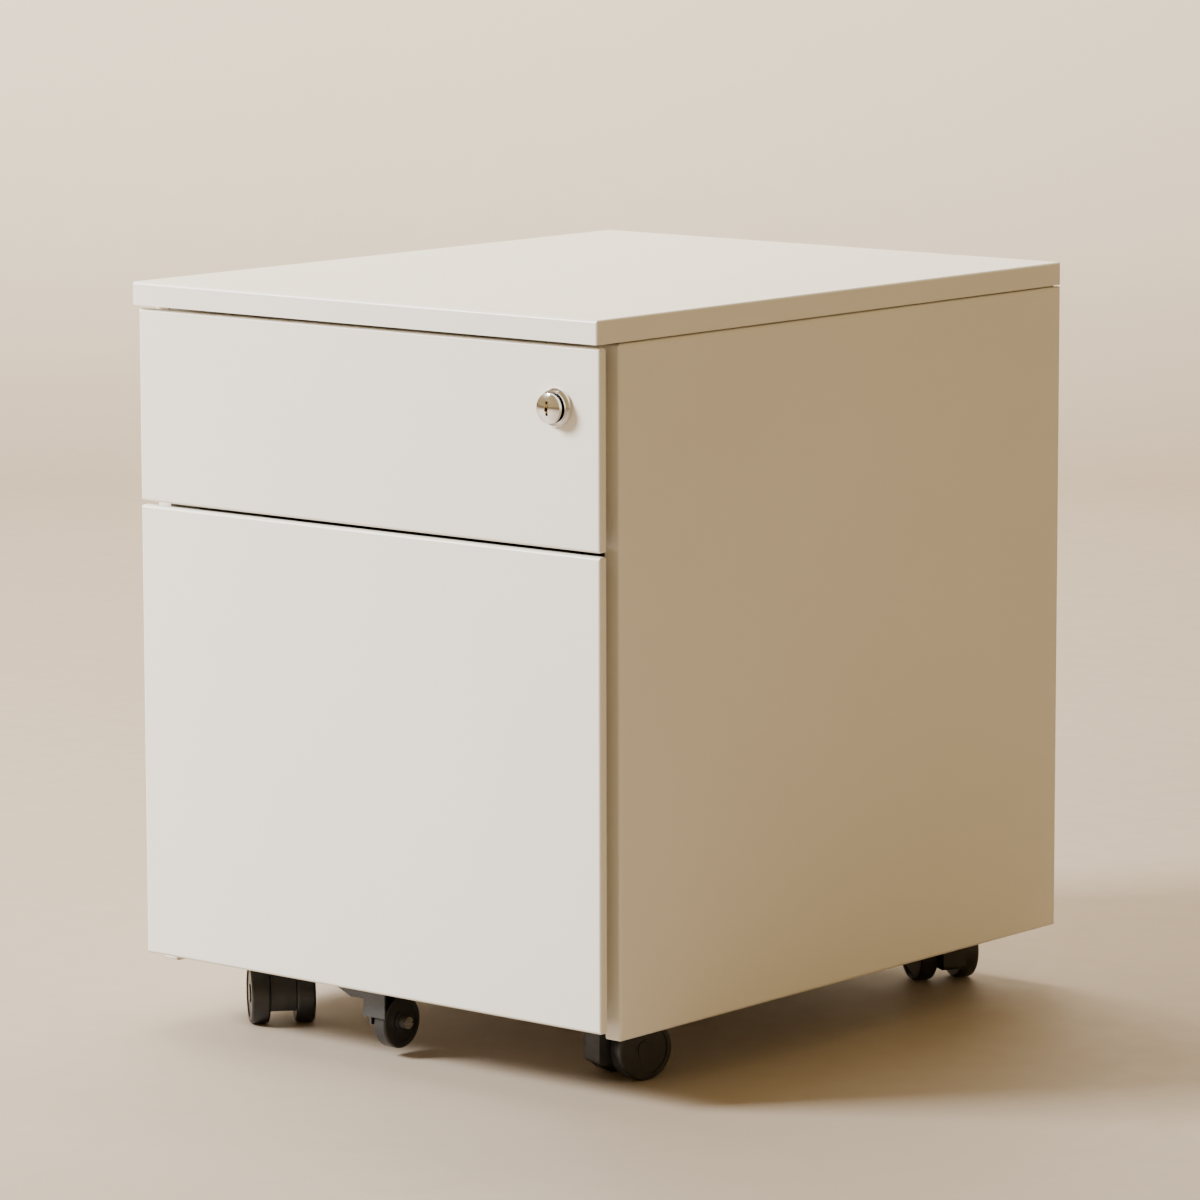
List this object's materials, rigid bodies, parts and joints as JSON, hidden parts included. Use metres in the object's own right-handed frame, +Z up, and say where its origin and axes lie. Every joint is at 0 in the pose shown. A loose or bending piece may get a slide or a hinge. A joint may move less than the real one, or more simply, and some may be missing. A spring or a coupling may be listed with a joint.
{
  "type": "mobile pedestal filing cabinet",
  "caption": "Low steel filing cabinet on castors: a shallow box drawer with a cam lock above a deep file drawer, with finger pulls at the sides and an anti-tip wheel.",
  "frame": {"origin": "middle of the overall footprint, on the floor the castors stand on", "axes": "+Z up; drawers open towards -Y; +X is the right-hand side seen from the front, where the lock is"},
  "size_m": [0.39, 0.486, 0.488],
  "materials": {
    "ivory_powder_coat": "fine satin powder coat",
    "zinc_plated_steel": "bright zinc plate",
    "black_coated_steel": "glossy black coat",
    "chrome": "polished",
    "wheel_plastic": "smooth black nylon",
    "hood_plastic": "fine-grained black nylon",
    "tray_plastic": "satin"
  },
  "bodies": {
    "cabinet": {"top_panel": "ivory_powder_coat", "left_side_panel": "ivory_powder_coat", "right_side_panel": "ivory_powder_coat", "back_panel": "ivory_powder_coat", "base_panel": "ivory_powder_coat", "front_top_rail": "ivory_powder_coat", "lock_bar_guides": "zinc_plated_steel", "rail_screws": "zinc_plated_steel", "castor_stems": "zinc_plated_steel", "castor_nuts": "zinc_plated_steel", "left_upper_outer_rail": "zinc_plated_steel", "right_upper_outer_rail": "zinc_plated_steel", "left_lower_outer_rail": "zinc_plated_steel", "right_lower_outer_rail": "zinc_plated_steel"},
    "box_drawer": {"box_drawer_front": "ivory_powder_coat", "box_drawer_stiffener": "ivory_powder_coat", "box_drawer_tray": "ivory_powder_coat", "pencil_tray": "tray_plastic", "left_upper_inner_rail": "zinc_plated_steel", "right_upper_inner_rail": "zinc_plated_steel", "lock_rosette": "chrome", "lock_housing": "chrome", "lock_nut": "zinc_plated_steel"},
    "file_drawer": {"file_drawer_front": "ivory_powder_coat", "file_drawer_stiffener": "ivory_powder_coat", "file_drawer_tray": "ivory_powder_coat", "left_lower_inner_rail": "zinc_plated_steel", "right_lower_inner_rail": "zinc_plated_steel", "left_hanging_rail": "zinc_plated_steel", "right_hanging_rail": "zinc_plated_steel", "file_latch_lug": "zinc_plated_steel", "anti_tip_bracket": "black_coated_steel", "anti_tip_axle": "zinc_plated_steel"},
    "lock_core": {"lock_plug": "chrome", "lock_cam": "zinc_plated_steel", "lock_cam_screw": "zinc_plated_steel"},
    "lock_bar": {"lock_bar": "zinc_plated_steel"},
    "anti_tip_roller": {"anti_tip_wheel": "wheel_plastic"},
    "left_upper_slide_member": {"left_upper_middle_rail": "zinc_plated_steel"},
    "right_upper_slide_member": {"right_upper_middle_rail": "zinc_plated_steel"},
    "left_lower_slide_member": {"left_lower_middle_rail": "zinc_plated_steel"},
    "right_lower_slide_member": {"right_lower_middle_rail": "zinc_plated_steel"},
    "front_left_castor_fork": {"front_left_castor_hood": "hood_plastic"},
    "front_left_castor_wheels": {"front_left_castor_axle": "zinc_plated_steel", "front_left_castor_wheel_a": "wheel_plastic", "front_left_castor_wheel_b": "wheel_plastic"},
    "front_right_castor_fork": {"front_right_castor_hood": "hood_plastic"},
    "front_right_castor_wheels": {"front_right_castor_axle": "zinc_plated_steel", "front_right_castor_wheel_a": "wheel_plastic", "front_right_castor_wheel_b": "wheel_plastic"},
    "rear_left_castor_fork": {"rear_left_castor_hood": "hood_plastic"},
    "rear_left_castor_wheels": {"rear_left_castor_axle": "zinc_plated_steel", "rear_left_castor_wheel_a": "wheel_plastic", "rear_left_castor_wheel_b": "wheel_plastic"},
    "rear_right_castor_fork": {"rear_right_castor_hood": "hood_plastic"},
    "rear_right_castor_wheels": {"rear_right_castor_axle": "zinc_plated_steel", "rear_right_castor_wheel_a": "wheel_plastic", "rear_right_castor_wheel_b": "wheel_plastic"}
  },
  "joints": [
    {"name": "box_drawer_slide", "type": "slide", "parent": "cabinet", "child": "box_drawer", "axis": [0, -1, 0], "range_m": [0, 0.4]},
    {"name": "file_drawer_slide", "type": "slide", "parent": "cabinet", "child": "file_drawer", "axis": [0, -1, 0], "range_m": [0, 0.4]},
    {"name": "left_upper_middle_rail_slide", "type": "slide", "parent": "cabinet", "child": "left_upper_slide_member", "axis": [0, -1, 0], "range_m": [0, 0.2]},
    {"name": "right_upper_middle_rail_slide", "type": "slide", "parent": "cabinet", "child": "right_upper_slide_member", "axis": [0, -1, 0], "range_m": [0, 0.2]},
    {"name": "left_lower_middle_rail_slide", "type": "slide", "parent": "cabinet", "child": "left_lower_slide_member", "axis": [0, -1, 0], "range_m": [0, 0.2]},
    {"name": "right_lower_middle_rail_slide", "type": "slide", "parent": "cabinet", "child": "right_lower_slide_member", "axis": [0, -1, 0], "range_m": [0, 0.2]},
    {"name": "lock_turn", "type": "hinge", "parent": "box_drawer", "child": "lock_core", "pos_m": [0.1595, -0.233, 0.4325], "axis": [0, -1, 0], "range_deg": [0, 90]},
    {"name": "lock_bar_lift", "type": "slide", "parent": "cabinet", "child": "lock_bar", "axis": [0, 0, 1], "range_m": [0, 0.012]},
    {"name": "front_left_castor_swivel", "type": "hinge", "parent": "cabinet", "child": "front_left_castor_fork", "pos_m": [-0.14001, -0.165, 0.045], "axis": [0, 0, 1], "continuous": true},
    {"name": "front_left_castor_roll", "type": "hinge", "parent": "front_left_castor_fork", "child": "front_left_castor_wheels", "pos_m": [-0.12718, -0.17615, 0.02], "axis": [0.6561, 0.7547, 0], "continuous": true},
    {"name": "front_right_castor_swivel", "type": "hinge", "parent": "cabinet", "child": "front_right_castor_fork", "pos_m": [0.14001, -0.165, 0.045], "axis": [0, 0, 1], "continuous": true},
    {"name": "front_right_castor_roll", "type": "hinge", "parent": "front_right_castor_fork", "child": "front_right_castor_wheels", "pos_m": [0.14469, -0.14866, 0.02], "axis": [-0.9613, 0.2756, 0], "continuous": true},
    {"name": "rear_left_castor_swivel", "type": "hinge", "parent": "cabinet", "child": "rear_left_castor_fork", "pos_m": [-0.14001, 0.19801, 0.045], "axis": [0, 0, 1], "continuous": true},
    {"name": "rear_left_castor_roll", "type": "hinge", "parent": "rear_left_castor_fork", "child": "rear_left_castor_wheels", "pos_m": [-0.12403, 0.20382, 0.02], "axis": [-0.342, 0.9397, 0], "continuous": true},
    {"name": "rear_right_castor_swivel", "type": "hinge", "parent": "cabinet", "child": "rear_right_castor_fork", "pos_m": [0.14001, 0.19801, 0.045], "axis": [0, 0, 1], "continuous": true},
    {"name": "rear_right_castor_roll", "type": "hinge", "parent": "rear_right_castor_fork", "child": "rear_right_castor_wheels", "pos_m": [0.12528, 0.20651, 0.02], "axis": [-0.5, -0.866, 0], "continuous": true},
    {"name": "anti_tip_wheel_roll", "type": "hinge", "parent": "file_drawer", "child": "anti_tip_roller", "pos_m": [-0.005, -0.199, 0.0222], "axis": [1, 0, 0], "continuous": true}
  ],
  "couplings": [
    {"joint": "left_upper_middle_rail_slide", "follows": "box_drawer_slide", "ratio": 0.5},
    {"joint": "right_upper_middle_rail_slide", "follows": "box_drawer_slide", "ratio": 0.5},
    {"joint": "left_lower_middle_rail_slide", "follows": "file_drawer_slide", "ratio": 0.5},
    {"joint": "right_lower_middle_rail_slide", "follows": "file_drawer_slide", "ratio": 0.5},
    {"joint": "lock_bar_lift", "follows": "lock_turn", "m_per_rad": 0.0076394}
  ]
}
